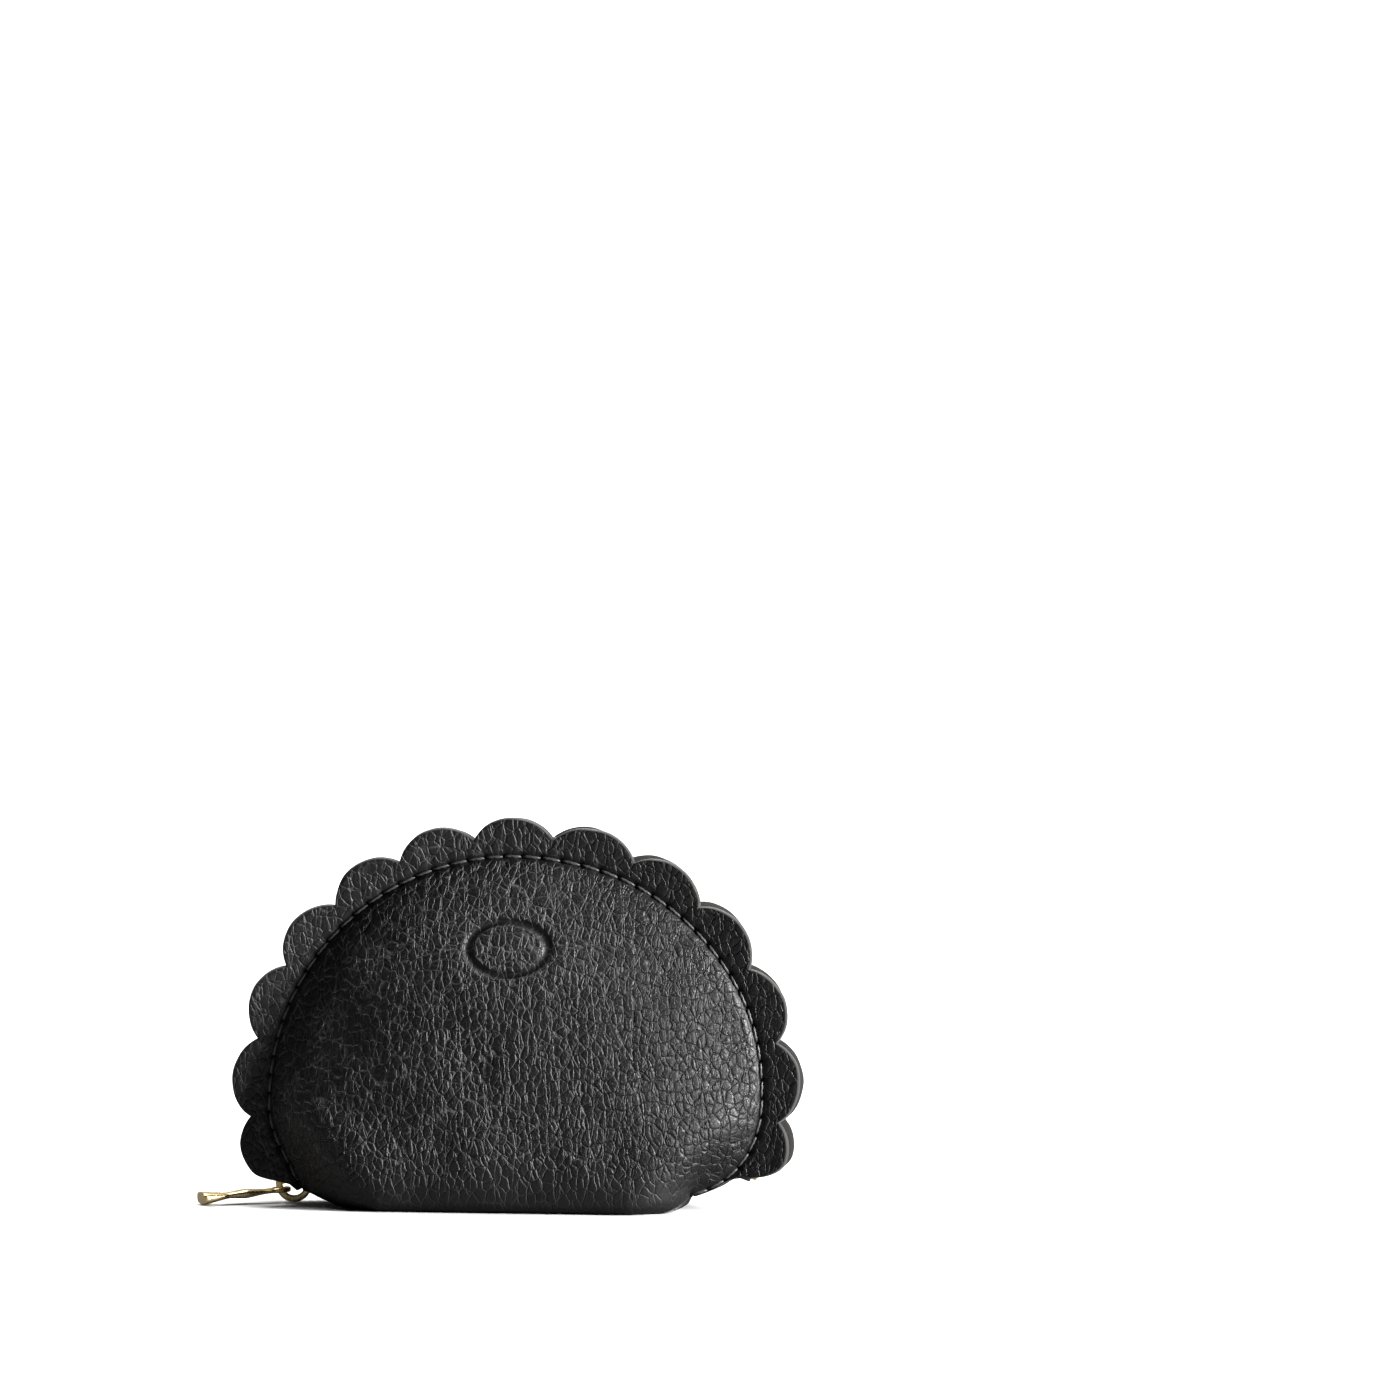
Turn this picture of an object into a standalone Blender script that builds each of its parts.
"""Half-moon zip coin purse with a scalloped leather flange.

Frame: +X to the purse's right as seen from its front, -Y to the front, +Z up.
The origin is the middle of the underside of the flat base. Units are metres.

The seam outline lies in planes of constant Y: a wide arch with a corner arc at each end. The
right corner curls in under the purse, and the left one runs straight down to the floor, as
the soft body leans a little to its right. The zip lies between the front and back flanges on
one circle of its own, so that its slider can turn about the middle of that circle. The purse
is shown closed, with its slider down at the left corner.
"""
import math

import bmesh
import bpy
from mathutils import Matrix, Vector

# Seam outline
ARCH_RADIUS = 0.062
ARCH_HEIGHT = 0.0255
CORNER_RADIUS = 0.022
LEFT_SWEEP = math.radians(27)
LEFT_STRAIGHT = 0.0135
RIGHT_SWEEP = math.radians(78)

# Base and leather
BASE_MIDDLE = -0.0006
BASE_HALF_LENGTH = 0.0383
BASE_HALF_DEPTH = 0.022
BASE_SHARE = 0.74            # share of each half of the seam whose ribs stand on the base
CORNER_HANDLES = {
    -1: ((-0.0412, -0.0215, 0.0003), (-0.0485, -0.0125, 0.0019)),
    1: ((0.0405, -0.0212, 0.0003), (0.0440, -0.0125, 0.0026)),
}
END_CUT = 0.0022             # the leather stops short of the very end of the seam
LEATHER = 0.002
SEAM_DEPTH = 0.0066          # from the middle plane to the leather's outer face at the seam
GAP = 0.0003
FRONT_START = 0.0028         # distance at which the front panel clears the base

# Flange and its scallops
FLANGE_WIDTH = 0.0048        # seam to notch
SCALLOP_RISE = 0.0046
SCALLOP_PITCH = 0.0197       # measured along the notches
SCALLOPS_PER_SIDE = 6
FLANGE_TAPER = {-1: (0.121, 0.133), 1: (0.118, 0.136)}
FLANGE_TAPER_SHARE = 0.85    # how much of the flange's width is lost at its ends
FLANGE_FLARE = math.radians(23)
FLARE_LEAN = math.radians(11)    # more flare at the right end, less at the left
STEPS_PER_SCALLOP = 6
TAIL_STEPS = {-1: 2, 1: 5}
PANEL_ROWS = 8

# Zip
ZIP_HEIGHT = 0.0292
ZIP_RADIUS = 0.0628
ZIP_FIRST_ANGLE = math.radians(-16.6)
ZIP_LAST_ANGLE = math.radians(196.3)
TAPE_FIRST_ANGLE = math.radians(-20.5)
TAPE_LAST_ANGLE = math.radians(200.6)
COIL_HALF_WIDTH = 0.0021
COIL_HEIGHT = 0.0022
TAPE = 0.00045
TAPE_DEPTH = 0.0043          # from the middle plane to the tape's outer face
TAPE_INSIDE = 0.005          # how far the tape runs on inside the seam
ZIP_STEPS = 48
TOP_STOP_ANGLES = (198.9, 200.6)
TAPE_TAILS = {
    # where each folded tape end sits, along X and Z, and its lean
    -1: (-0.0490, 0.0028, math.radians(13)),
    1: (0.0478, 0.0058, math.radians(-16)),
}
BOTTOM_STOP_ANGLES = (-20.0, -17.2)
BOTTOM_STOP_SECTION = ((-0.0013, -0.002), (0.0013, -0.002), (0.0013, 0.002), (-0.0013, 0.002))

# Slider, at rest at the left corner
SLIDER_REST_ANGLE = math.radians(194.3)
SLIDER_LENGTH = 0.0096
SLIDER_NOSE_WIDTH = 0.007
SLIDER_TAIL_WIDTH = 0.0058
SLIDER_HEIGHT = 0.0043
SLIDER_CHAMFER = 0.0005
PLATE = 0.0007
LIP_WIDTH = 0.00075
TAPE_SLOT = 0.0013
NECK_FRONT = 0.0042
NECK_LENGTH = 0.0018
NECK_HALF_WIDTH = 0.00185
LUG = 0.0007
LUG_INNER = 0.00095
LUG_END = 0.009
LUG_HEIGHT = 0.0022
PIN_REACH = 0.008            # slider's middle to the pull pin
PIN_RADIUS = 0.00055

# Pull ring and pull tab
RING_HOLE_RADIUS = 0.0029
RING_RADIUS = 0.00465
RING_THICKNESS = 0.0012
FLOOR_CLEARANCE = 0.0001
EYE_ON_RING = math.radians(205)
EYE_HOLE_RADIUS = 0.00175
EYE_RADIUS = 0.00265
TAB_YAW = math.radians(30)
TAB_LENGTH = 0.0208          # middle of the eye to the free end
TAB_END_HALF_THICKNESS = 0.0016
TAB_STATIONS = (
    # along the tab, half width, half thickness
    (0.0020, 0.0019, 0.00062),
    (0.0045, 0.0018, 0.00065),
    (0.0093, 0.0027, 0.00115),
    (0.0138, 0.0019, 0.00070),
    (0.0175, 0.0031, 0.00115),
    (0.0203, 0.0037, 0.00160),
    (0.0208, 0.0036, 0.00150),
)
TAB_SLOT = ((0.0150, 0.0190), 0.0009)

MOUTH_HINGE = Vector((0.0, -BASE_HALF_DEPTH, (LEATHER + FRONT_START) / 2))
ZIP_MIDDLE = Vector((0.0, 0.0, ZIP_HEIGHT))

COLOURS = {
    "leather": ((0.012, 0.012, 0.013, 1), 0.5, 0.0),
    "tape": ((0.008, 0.008, 0.009, 1), 0.85, 0.0),
    "coil": ((0.010, 0.010, 0.011, 1), 0.35, 0.0),
    "thread": ((0.015, 0.015, 0.015, 1), 0.6, 0.0),
    "gold": ((0.80, 0.58, 0.27, 1), 0.22, 1.0),
}


def clear_scene():
    for obj in list(bpy.data.objects):
        bpy.data.objects.remove(obj, do_unlink=True)


def new_collection(name):
    collection = bpy.data.collections.new(name)
    bpy.context.scene.collection.children.link(collection)
    return collection


def make_material(name):
    colour, roughness, metallic = COLOURS[name]
    material = bpy.data.materials.new(name)
    material.use_nodes = True
    shader = material.node_tree.nodes["Principled BSDF"]
    shader.inputs["Base Color"].default_value = colour
    shader.inputs["Roughness"].default_value = roughness
    shader.inputs["Metallic"].default_value = metallic
    material.diffuse_color = colour
    return material


def add_mesh(name, build, material=None):
    """Make an object from a function that fills a bmesh."""
    mesh = bpy.data.meshes.new(name)
    work = bmesh.new()
    build(work)
    work.to_mesh(mesh)
    work.free()
    obj = bpy.data.objects.new(name, mesh)
    if material is None:
        cutters.objects.link(obj)
        obj.hide_render = True
        obj.display_type = "WIRE"
    else:
        purse.objects.link(obj)
        mesh.materials.append(materials[material])
    return obj


def add_pivot(name, location):
    empty = bpy.data.objects.new(name, None)
    empty.location = location
    purse.objects.link(empty)
    return empty


def hang_on(pivot, *objects):
    """Parent objects to a pivot without moving them."""
    for obj in objects:
        obj.parent = pivot
        obj.matrix_parent_inverse = Matrix.Translation(pivot.location).inverted()


# Outline of the seam. Every function takes a distance along the line of the notches,
# measured from the top of the arch, positive towards +X.

NOTCH_RADIUS = ARCH_RADIUS + FLANGE_WIDTH
ARCH_REACH = NOTCH_RADIUS * math.pi / 2
REACH = {
    -1: ARCH_REACH + (CORNER_RADIUS + FLANGE_WIDTH) * LEFT_SWEEP + LEFT_STRAIGHT,
    1: ARCH_REACH + (CORNER_RADIUS + FLANGE_WIDTH) * RIGHT_SWEEP,
}
SCALLOP_REACH = SCALLOP_PITCH * (SCALLOPS_PER_SIDE + 0.5)


def side_of(distance):
    return -1 if distance < 0 else 1


def seam_at(distance):
    """Seam point and outward normal, both in the XZ plane."""
    side = side_of(distance)
    reach = abs(distance)
    if reach <= ARCH_REACH:
        angle = reach / NOTCH_RADIUS
        normal = Vector((side * math.sin(angle), 0, math.cos(angle)))
        return Vector((0, 0, ARCH_HEIGHT)) + ARCH_RADIUS * normal, normal
    turned = (reach - ARCH_REACH) / (CORNER_RADIUS + FLANGE_WIDTH)
    angle = min(turned, LEFT_SWEEP if side < 0 else RIGHT_SWEEP)
    normal = Vector((side * math.cos(angle), 0, -math.sin(angle)))
    onward = Vector((-side * math.sin(angle), 0, -math.cos(angle)))
    middle = Vector((side * (ARCH_RADIUS - CORNER_RADIUS), 0, ARCH_HEIGHT))
    straight = (turned - angle) * (CORNER_RADIUS + FLANGE_WIDTH)
    return middle + CORNER_RADIUS * normal + straight * onward, normal


def flange_width_at(distance):
    reach = abs(distance)
    low, high = FLANGE_TAPER[side_of(distance)]
    share = 1 - FLANGE_TAPER_SHARE * smooth_step(low, high, reach)
    if reach >= SCALLOP_REACH:
        return share * FLANGE_WIDTH
    half = SCALLOP_PITCH / 2
    radius = (half * half + SCALLOP_RISE * SCALLOP_RISE) / (2 * SCALLOP_RISE)
    across = reach - SCALLOP_PITCH * round(reach / SCALLOP_PITCH)
    rise = math.sqrt(radius * radius - across * across) - (radius - SCALLOP_RISE)
    return share * (FLANGE_WIDTH + rise)


def outline_stations():
    step = SCALLOP_PITCH / STEPS_PER_SCALLOP
    count = (2 * SCALLOPS_PER_SIDE + 1) * STEPS_PER_SCALLOP
    stations = [-SCALLOP_REACH + step * i for i in range(count + 1)]
    for side, steps in TAIL_STEPS.items():
        tail = REACH[side] - END_CUT - SCALLOP_REACH
        stations += [side * (SCALLOP_REACH + tail * (i + 1) / steps) for i in range(steps)]
    return sorted(stations)


def base_edge(share):
    """Where the rib at this share of the seam meets the base's front edge."""
    side = side_of(share)
    if abs(share) <= BASE_SHARE:
        along = BASE_MIDDLE + BASE_HALF_LENGTH * share / BASE_SHARE
        return Vector((along, -BASE_HALF_DEPTH, 0))
    seam_end, _ = seam_at(side * REACH[side])
    corner = Vector((BASE_MIDDLE + side * BASE_HALF_LENGTH, -BASE_HALF_DEPTH, 0))
    end = seam_end + Vector((0, -SEAM_DEPTH, 0))
    low, high = CORNER_HANDLES[side]
    controls = (corner, Vector(low), Vector(high), end)
    return bezier_point(controls, (abs(share) - BASE_SHARE) / (1 - BASE_SHARE))


def panel_curve(distance):
    """The four control points of the front panel's rib, from the base up to the seam."""
    seam, normal = seam_at(distance)
    share = distance / REACH[side_of(distance)]
    corner = smooth_step(0.62, 0.95, abs(share))
    foot = base_edge(share)
    head = seam + Vector((0, -SEAM_DEPTH, 0))
    length = (head - foot).length
    rise = Vector((0.35 * corner * side_of(share), 0.02 - 0.30 * corner, 1)).normalized()
    swell = math.radians(26 + 24 * corner)
    fall = -math.cos(swell) * normal + Vector((0, -math.sin(swell), 0))
    grip = 0.35 + 0.05 * corner
    return foot, foot + grip * length * rise, head + (0.33 + 0.04 * corner) * length * fall, head


def smooth_step(low, high, value):
    share = min(1.0, max(0.0, (value - low) / (high - low)))
    return share * share * (3 - 2 * share)


def bezier_point(controls, share):
    a, b, c, d = controls
    rest = 1 - share
    return rest**3 * a + 3 * rest**2 * share * b + 3 * rest * share**2 * c + share**3 * d


def share_beyond(controls, reach):
    """Where a rib first gets this far from its foot."""
    low, high = 0.0, 1.0
    for _ in range(30):
        middle = (low + high) / 2
        if (bezier_point(controls, middle) - controls[0]).length < reach:
            low = middle
        else:
            high = middle
    return high


def flange_tip(distance):
    seam, normal = seam_at(distance)
    width = flange_width_at(distance)
    flare = FLANGE_FLARE + FLARE_LEAN * distance / REACH[1]
    return seam + width * normal + Vector((0, -(SEAM_DEPTH + width * math.tan(flare)), 0))


def rib_points(distance, start):
    controls = panel_curve(distance)
    first = share_beyond(controls, start) if start else 0.0
    rib = [bezier_point(controls, first + (1 - first) * i / PANEL_ROWS) for i in range(PANEL_ROWS + 1)]
    return rib + [flange_tip(distance)]


def add_sheet(name, ribs, material):
    """An open sheet through a row of ribs, thickened to leather on its inner side.

    Ribs end level at the flange. A shorter rib starts higher up its longer neighbour.
    """

    def build(work):
        rows = [[work.verts.new(p) for p in rib] for rib in ribs]
        for left, right in zip(rows, rows[1:]):
            for i in range(-min(len(left), len(right)), -1):
                work.faces.new((left[i], right[i], right[i + 1], left[i + 1]))

    obj = add_mesh(name, build, material)
    skin = obj.modifiers.new("leather thickness", "SOLIDIFY")
    skin.thickness = LEATHER
    skin.offset = -1
    obj.data.shade_smooth()
    obj.data.set_sharp_from_angle(angle=math.radians(35))
    return obj


def add_front_leather():
    ribs = []
    for distance in outline_stations():
        share = abs(distance) / REACH[side_of(distance)]
        drop = smooth_step(BASE_SHARE + 0.08, BASE_SHARE + 0.20, share)
        ribs.append(rib_points(distance, (1 - drop) * FRONT_START))
    return add_sheet("front_leather", ribs, "leather")


def add_back_leather():
    """The back panel and the base, which are one piece with no seam between them."""
    mirror = Vector((1, -1, 1))
    base_shares = (-1.0, -0.5, 0.0, 0.5)
    ribs = []
    for distance in reversed(outline_stations()):
        rib = [p * mirror for p in rib_points(distance, 0)]
        if abs(distance) <= BASE_SHARE * REACH[side_of(distance)]:
            rib = [Vector((rib[0].x, depth * BASE_HALF_DEPTH, 0)) for depth in base_shares] + rib
        ribs.append(rib)
    return add_sheet("back_leather", ribs, "leather")


def zip_point(angle, radius, depth):
    return Vector((radius * math.cos(angle), depth, ZIP_HEIGHT + radius * math.sin(angle)))


def seam_radius(angle):
    """Distance of the seam from the middle of the zip's circle, along a ray."""
    drop = ZIP_HEIGHT - ARCH_HEIGHT
    flat = drop * math.cos(angle)
    radius = -drop * math.sin(angle) + math.sqrt(ARCH_RADIUS**2 - flat**2)
    if drop + radius * math.sin(angle) >= 0:
        return radius
    straight_start, _ = seam_at(LEFT_STRAIGHT - REACH[-1])
    straight_end, _ = seam_at(-REACH[-1])
    edge = straight_end - straight_start
    to_start = straight_start - ZIP_MIDDLE
    straight = (to_start.x * edge.z - to_start.z * edge.x) / (
        math.cos(angle) * edge.z - math.sin(angle) * edge.x)
    if math.cos(angle) < 0 and straight * math.sin(angle) < to_start.z:
        return straight
    inset = ARCH_RADIUS - CORNER_RADIUS
    along = inset * abs(math.cos(angle)) - drop * math.sin(angle)
    return along + math.sqrt(along**2 - inset**2 - drop**2 + CORNER_RADIUS**2)


def arc_angles(first, last, count):
    return [first + (last - first) * i / count for i in range(count + 1)]


def loft_solid(work, sections):
    """A closed solid through a row of sections with the same number of points."""
    rings = [[work.verts.new(p) for p in section] for section in sections]
    count = len(rings[0])
    for low, high in zip(rings, rings[1:]):
        for i in range(count):
            j = (i + 1) % count
            work.faces.new((low[i], low[j], high[j], high[i]))
    work.faces.new(list(reversed(rings[0])))
    work.faces.new(rings[-1])
    bmesh.ops.recalc_face_normals(work, faces=work.faces)


def add_coil(name, side):
    """One row of the coil, as the band that its turns fill."""
    inner = side * GAP / 2
    outer = side * COIL_HALF_WIDTH
    low = ZIP_RADIUS - COIL_HEIGHT / 2
    high = ZIP_RADIUS + COIL_HEIGHT / 2

    def build(work):
        loft_solid(work, [
            [zip_point(a, low, inner), zip_point(a, high, inner),
             zip_point(a, high, outer), zip_point(a, low, outer)]
            for a in arc_angles(ZIP_FIRST_ANGLE, ZIP_LAST_ANGLE, ZIP_STEPS)
        ])

    return add_mesh(name, build, "coil")


def add_tape(name, side):
    """A tape, sewn to the leather inside the seam and turned in to its row of the coil."""
    outer = side * TAPE_DEPTH
    inner = side * (TAPE_DEPTH - TAPE)
    edge = side * (COIL_HALF_WIDTH + GAP)
    high = ZIP_RADIUS + TAPE / 2
    low = ZIP_RADIUS - TAPE / 2

    def build(work):
        sections = []
        for a in arc_angles(TAPE_FIRST_ANGLE, TAPE_LAST_ANGLE, ZIP_STEPS):
            hem = seam_radius(a) - TAPE_INSIDE
            sections.append([
                zip_point(a, hem, outer), zip_point(a, high, outer), zip_point(a, high, edge),
                zip_point(a, low, edge), zip_point(a, low, inner), zip_point(a, hem, inner),
            ])
        loft_solid(work, sections)

    return add_mesh(name, build, "tape")


def add_stop(name, angles, section):
    """A small metal stop bent to the zip's circle. Its section is (height, depth) points."""

    def build(work):
        loft_solid(work, [
            [zip_point(a, ZIP_RADIUS + height, depth) for height, depth in section]
            for a in arc_angles(math.radians(angles[0]), math.radians(angles[1]), 2)
        ])

    return add_mesh(name, build, "gold")


def clip_section(side):
    """A C that closes over the inner edge of one tape."""
    inner, web, outer = (side * depth for depth in (0.0018, 0.0021, 0.0033))
    return (
        (-0.0011, inner), (0.0011, inner), (0.0011, outer), (0.00055, outer),
        (0.00055, web), (-0.00055, web), (-0.00055, outer), (-0.0011, outer),
    )


def soften(obj, width):
    bevel = obj.modifiers.new("rounded edges", "BEVEL")
    bevel.width = width
    bevel.segments = 2
    bevel.limit_method = "ANGLE"
    bevel.angle_limit = math.radians(40)


def add_tape_tail(name, side):
    """The two tape ends, folded together and sewn down at the end of the base."""

    def build(work):
        bmesh.ops.create_cube(work, size=1)
        bmesh.ops.scale(work, vec=(0.0052, 0.0080, 0.0026), verts=work.verts)

    obj = add_mesh(name, build, "tape")
    place_x, place_z, lean = TAPE_TAILS[side]
    obj.location = (place_x, 0, place_z)
    obj.rotation_euler = (0, lean, 0)
    soften(obj, 0.0008)
    return obj


def add_stitching(name, side):
    """The seam's thread, lying along the valley between the panel and the flange."""
    curve = bpy.data.curves.new(name, "CURVE")
    curve.dimensions = "3D"
    curve.bevel_depth = 0.0003
    curve.bevel_resolution = 1
    curve.use_fill_caps = True
    spline = curve.splines.new("POLY")
    count = 72
    first, last = END_CUT - REACH[-1], REACH[1] - END_CUT
    spline.points.add(count)
    for i, point in enumerate(spline.points):
        seam, _ = seam_at(first + (last - first) * i / count)
        point.co = (seam.x, side * (SEAM_DEPTH + 0.00065), seam.z, 1)
    curve.materials.append(materials["thread"])
    obj = bpy.data.objects.new(name, curve)
    purse.objects.link(obj)
    return obj


def box_between(work, low, high):
    """Add a box to a bmesh."""
    made = bmesh.ops.create_cube(work, size=1)["verts"]
    bmesh.ops.scale(work, vec=Vector(high) - Vector(low), verts=made)
    bmesh.ops.translate(work, vec=(Vector(high) + Vector(low)) / 2, verts=made)


def slider_sections():
    """The slider's outside: wide at the nose (+X), narrower at the tail, with chamfered sides."""
    half = SLIDER_LENGTH / 2
    nose = SLIDER_NOSE_WIDTH / 2
    tail = SLIDER_TAIL_WIDTH / 2
    outline = ((-half, 0.72 * tail), (-0.75 * half, tail), (0.1 * half, nose), (0.8 * half, nose),
               (half, 0.62 * nose))
    return [section_at(x, w, SLIDER_HEIGHT / 2, SLIDER_CHAMFER) for x, w in outline]


def add_slider_body():
    """Cast slider: two plates with side lips, a neck between the rows, and two lugs.

    Built with its nose along +X and its outer plate up, about the slider's middle.
    """
    half_height = SLIDER_HEIGHT / 2
    obj = add_mesh("slider_body", lambda work: loft_solid(work, slider_sections()), "gold")
    pocket = SLIDER_NOSE_WIDTH / 2 - LIP_WIDTH
    reach = SLIDER_LENGTH

    def channel(work):
        box_between(work, (-reach, -pocket, PLATE - half_height), (reach, pocket, half_height - PLATE))

    def slots(work):
        box_between(work, (-reach, -reach, -TAPE_SLOT / 2), (reach, reach, TAPE_SLOT / 2))

    def neck(work):
        box_between(work, (NECK_FRONT - NECK_LENGTH, -NECK_HALF_WIDTH, 0.0002 - half_height),
                    (NECK_FRONT, NECK_HALF_WIDTH, half_height - 0.0002))

    cut_with(obj, channel, "slider_channel", "DIFFERENCE")
    cut_with(obj, slots, "slider_slots", "DIFFERENCE")
    cut_with(obj, neck, "slider_neck", "UNION")
    for side in (-1, 1):
        cut_with(obj, lambda work: add_lug(work, side), f"slider_lug_{side + 1}", "UNION")
    pin_hole = add_mesh("slider_pin_hole", lambda work: add_rod(work, PIN_RADIUS + 0.00005, 0.006))
    pin_hole.location = (PIN_REACH, 0, 0)
    boolean(obj, pin_hole, "DIFFERENCE")
    return obj, pin_hole


def add_lug(work, side):
    low = LUG_INNER if side > 0 else -LUG_INNER - LUG
    box_between(work, (NECK_FRONT - 0.001, low, -LUG_HEIGHT / 2), (LUG_END, low + LUG, LUG_HEIGHT / 2))


def add_rod(work, radius, length):
    """A rod along Y."""
    turn = Matrix.Rotation(math.radians(90), 4, "X")
    bmesh.ops.create_cone(work, cap_ends=True, segments=20, radius1=radius, radius2=radius,
                          depth=length, matrix=turn)


def cut_with(obj, build, name, operation):
    cutter = add_mesh(name, build)
    boolean(obj, cutter, operation)
    slider_tools.append(cutter)


def boolean(obj, cutter, operation):
    cut = obj.modifiers.new(cutter.name, "BOOLEAN")
    cut.operation = operation
    cut.object = cutter
    cut.solver = "EXACT"


def place(objects, matrix):
    for obj in objects:
        obj.matrix_world = matrix @ Matrix.Translation(obj.location)


def slider_frame():
    """Matrix from the slider's own axes (nose, across, outward) to the purse's."""
    a = SLIDER_REST_ANGLE
    nose = Vector((-math.sin(a), 0, math.cos(a)))
    outward = Vector((math.cos(a), 0, math.sin(a)))
    across = outward.cross(nose)
    turn = Matrix((nose, across, outward)).transposed().to_4x4()
    return Matrix.Translation(zip_point(a, ZIP_RADIUS, 0)) @ turn


def add_pull_pin():
    obj = add_mesh("pull_pin", lambda work: add_rod(work, PIN_RADIUS, 2 * (LUG_INNER + LUG) + 0.0004),
                   "gold")
    obj.data.shade_smooth()
    obj.data.set_sharp_from_angle(angle=math.radians(40))
    return obj


def ring_middle(pin):
    """The ring hangs on the pin and all but touches the surface that the purse stands on."""
    drop = pin.z - (RING_RADIUS + FLOOR_CLEARANCE)
    reach = RING_HOLE_RADIUS - PIN_RADIUS - GAP
    return Vector((pin.x + math.sqrt(reach**2 - drop**2), 0, pin.z - drop))


def add_pull_ring(pin):
    """Flat ring: a turned profile about Y."""
    half = RING_THICKNESS / 2
    bevel = 0.0003
    profile = (
        (RING_RADIUS - bevel, half), (RING_RADIUS, half - bevel), (RING_RADIUS, bevel - half),
        (RING_RADIUS - bevel, -half), (RING_HOLE_RADIUS + bevel, -half),
        (RING_HOLE_RADIUS, bevel - half), (RING_HOLE_RADIUS, half - bevel),
        (RING_HOLE_RADIUS + bevel, half),
    )

    def build(work):
        verts = [work.verts.new((r, 0, h)) for r, h in profile]
        for i in range(len(verts)):
            work.edges.new((verts[i], verts[(i + 1) % len(verts)]))

    obj = add_mesh("pull_ring", build, "gold")
    screw = obj.modifiers.new("turned profile", "SCREW")
    screw.steps = 40
    screw.render_steps = 40
    screw.use_merge_vertices = True
    screw.merge_threshold = 0.00001
    obj.matrix_world = Matrix.Translation(ring_middle(pin)) @ Matrix.Rotation(math.radians(90), 4, "X")
    return obj


def add_pull_tab(eye):
    """Sculpted bar: a round eye on the ring, a waist each side of a swell, a slotted end."""

    def body(work):
        loft_solid(work, [section_at(*station, 0.35 * station[2]) for station in TAB_STATIONS])

    obj = add_mesh("pull_tab", body, "gold")
    thick = TAB_STATIONS[0][2]

    def eye_disc(work):
        bmesh.ops.create_cone(work, cap_ends=True, segments=32, radius1=EYE_RADIUS,
                              radius2=EYE_RADIUS, depth=2 * thick)

    def eye_hole(work):
        bmesh.ops.create_cone(work, cap_ends=True, segments=28, radius1=EYE_HOLE_RADIUS,
                              radius2=EYE_HOLE_RADIUS, depth=0.01)

    def slot(work):
        (start, end), half = TAB_SLOT
        box_between(work, (start, -half, -0.005), (end, half, 0.005))

    tools = []
    for name, build, operation in (("tab_eye", eye_disc, "UNION"), ("tab_hole", eye_hole, "DIFFERENCE"),
                                   ("tab_slot", slot, "DIFFERENCE")):
        tool = add_mesh(name, build)
        boolean(obj, tool, operation)
        tools.append(tool)
    pitch = math.asin((eye.z - TAB_END_HALF_THICKNESS - FLOOR_CLEARANCE) / TAB_LENGTH)
    turn = (Matrix.Rotation(math.pi + TAB_YAW, 4, "Z") @ Matrix.Rotation(pitch, 4, "Y"))
    place([obj] + tools, Matrix.Translation(eye) @ turn)
    return obj


def section_at(along, half_width, half_thickness, chamfer):
    """An eight-sided section across a bar along X."""
    w, t = half_width, half_thickness
    corners = ((w - chamfer, t), (w, t - chamfer), (w, chamfer - t), (w - chamfer, -t),
               (chamfer - w, -t), (-w, chamfer - t), (-w, t - chamfer), (chamfer - w, t))
    return [Vector((along, y, z)) for y, z in corners]


clear_scene()
purse = new_collection("coin_purse")
cutters = new_collection("cutters")
materials = {name: make_material(name) for name in COLOURS}
slider_tools = []

mouth_pivot = add_pivot("mouth_pivot", MOUTH_HINGE)
zip_pivot = add_pivot("zip_pivot", ZIP_MIDDLE)

# Back half, base and the fixed pieces of the zip
add_back_leather()
add_tape("back_tape", 1)
add_coil("back_coil", 1)
add_stitching("back_stitching", 1)
add_stop("bottom_stop", BOTTOM_STOP_ANGLES, BOTTOM_STOP_SECTION)
add_stop("back_top_stop", TOP_STOP_ANGLES, clip_section(1))
add_tape_tail("left_tape_tail", -1)
add_tape_tail("right_tape_tail", 1)

# Front half, which swings down about the front edge of the base
hang_on(
    mouth_pivot,
    add_front_leather(),
    add_tape("front_tape", -1),
    add_coil("front_coil", -1),
    add_stitching("front_stitching", -1),
    add_stop("front_top_stop", TOP_STOP_ANGLES, clip_section(-1)),
)

# Slider and pull
slider, slider_pin_hole = add_slider_body()
pin_piece = add_pull_pin()
pin_piece.location = (PIN_REACH, 0, 0)
place([slider, slider_pin_hole, pin_piece] + slider_tools, slider_frame())
hang_on(zip_pivot, slider, pin_piece)
pin_middle = slider_frame() @ Vector((PIN_REACH, 0, 0))
ring = add_pull_ring(pin_middle)
middle = ring_middle(pin_middle)
band = (RING_RADIUS + RING_HOLE_RADIUS) / 2
eye_middle = middle + band * Vector((math.cos(EYE_ON_RING), 0, math.sin(EYE_ON_RING)))
add_pull_tab(eye_middle)
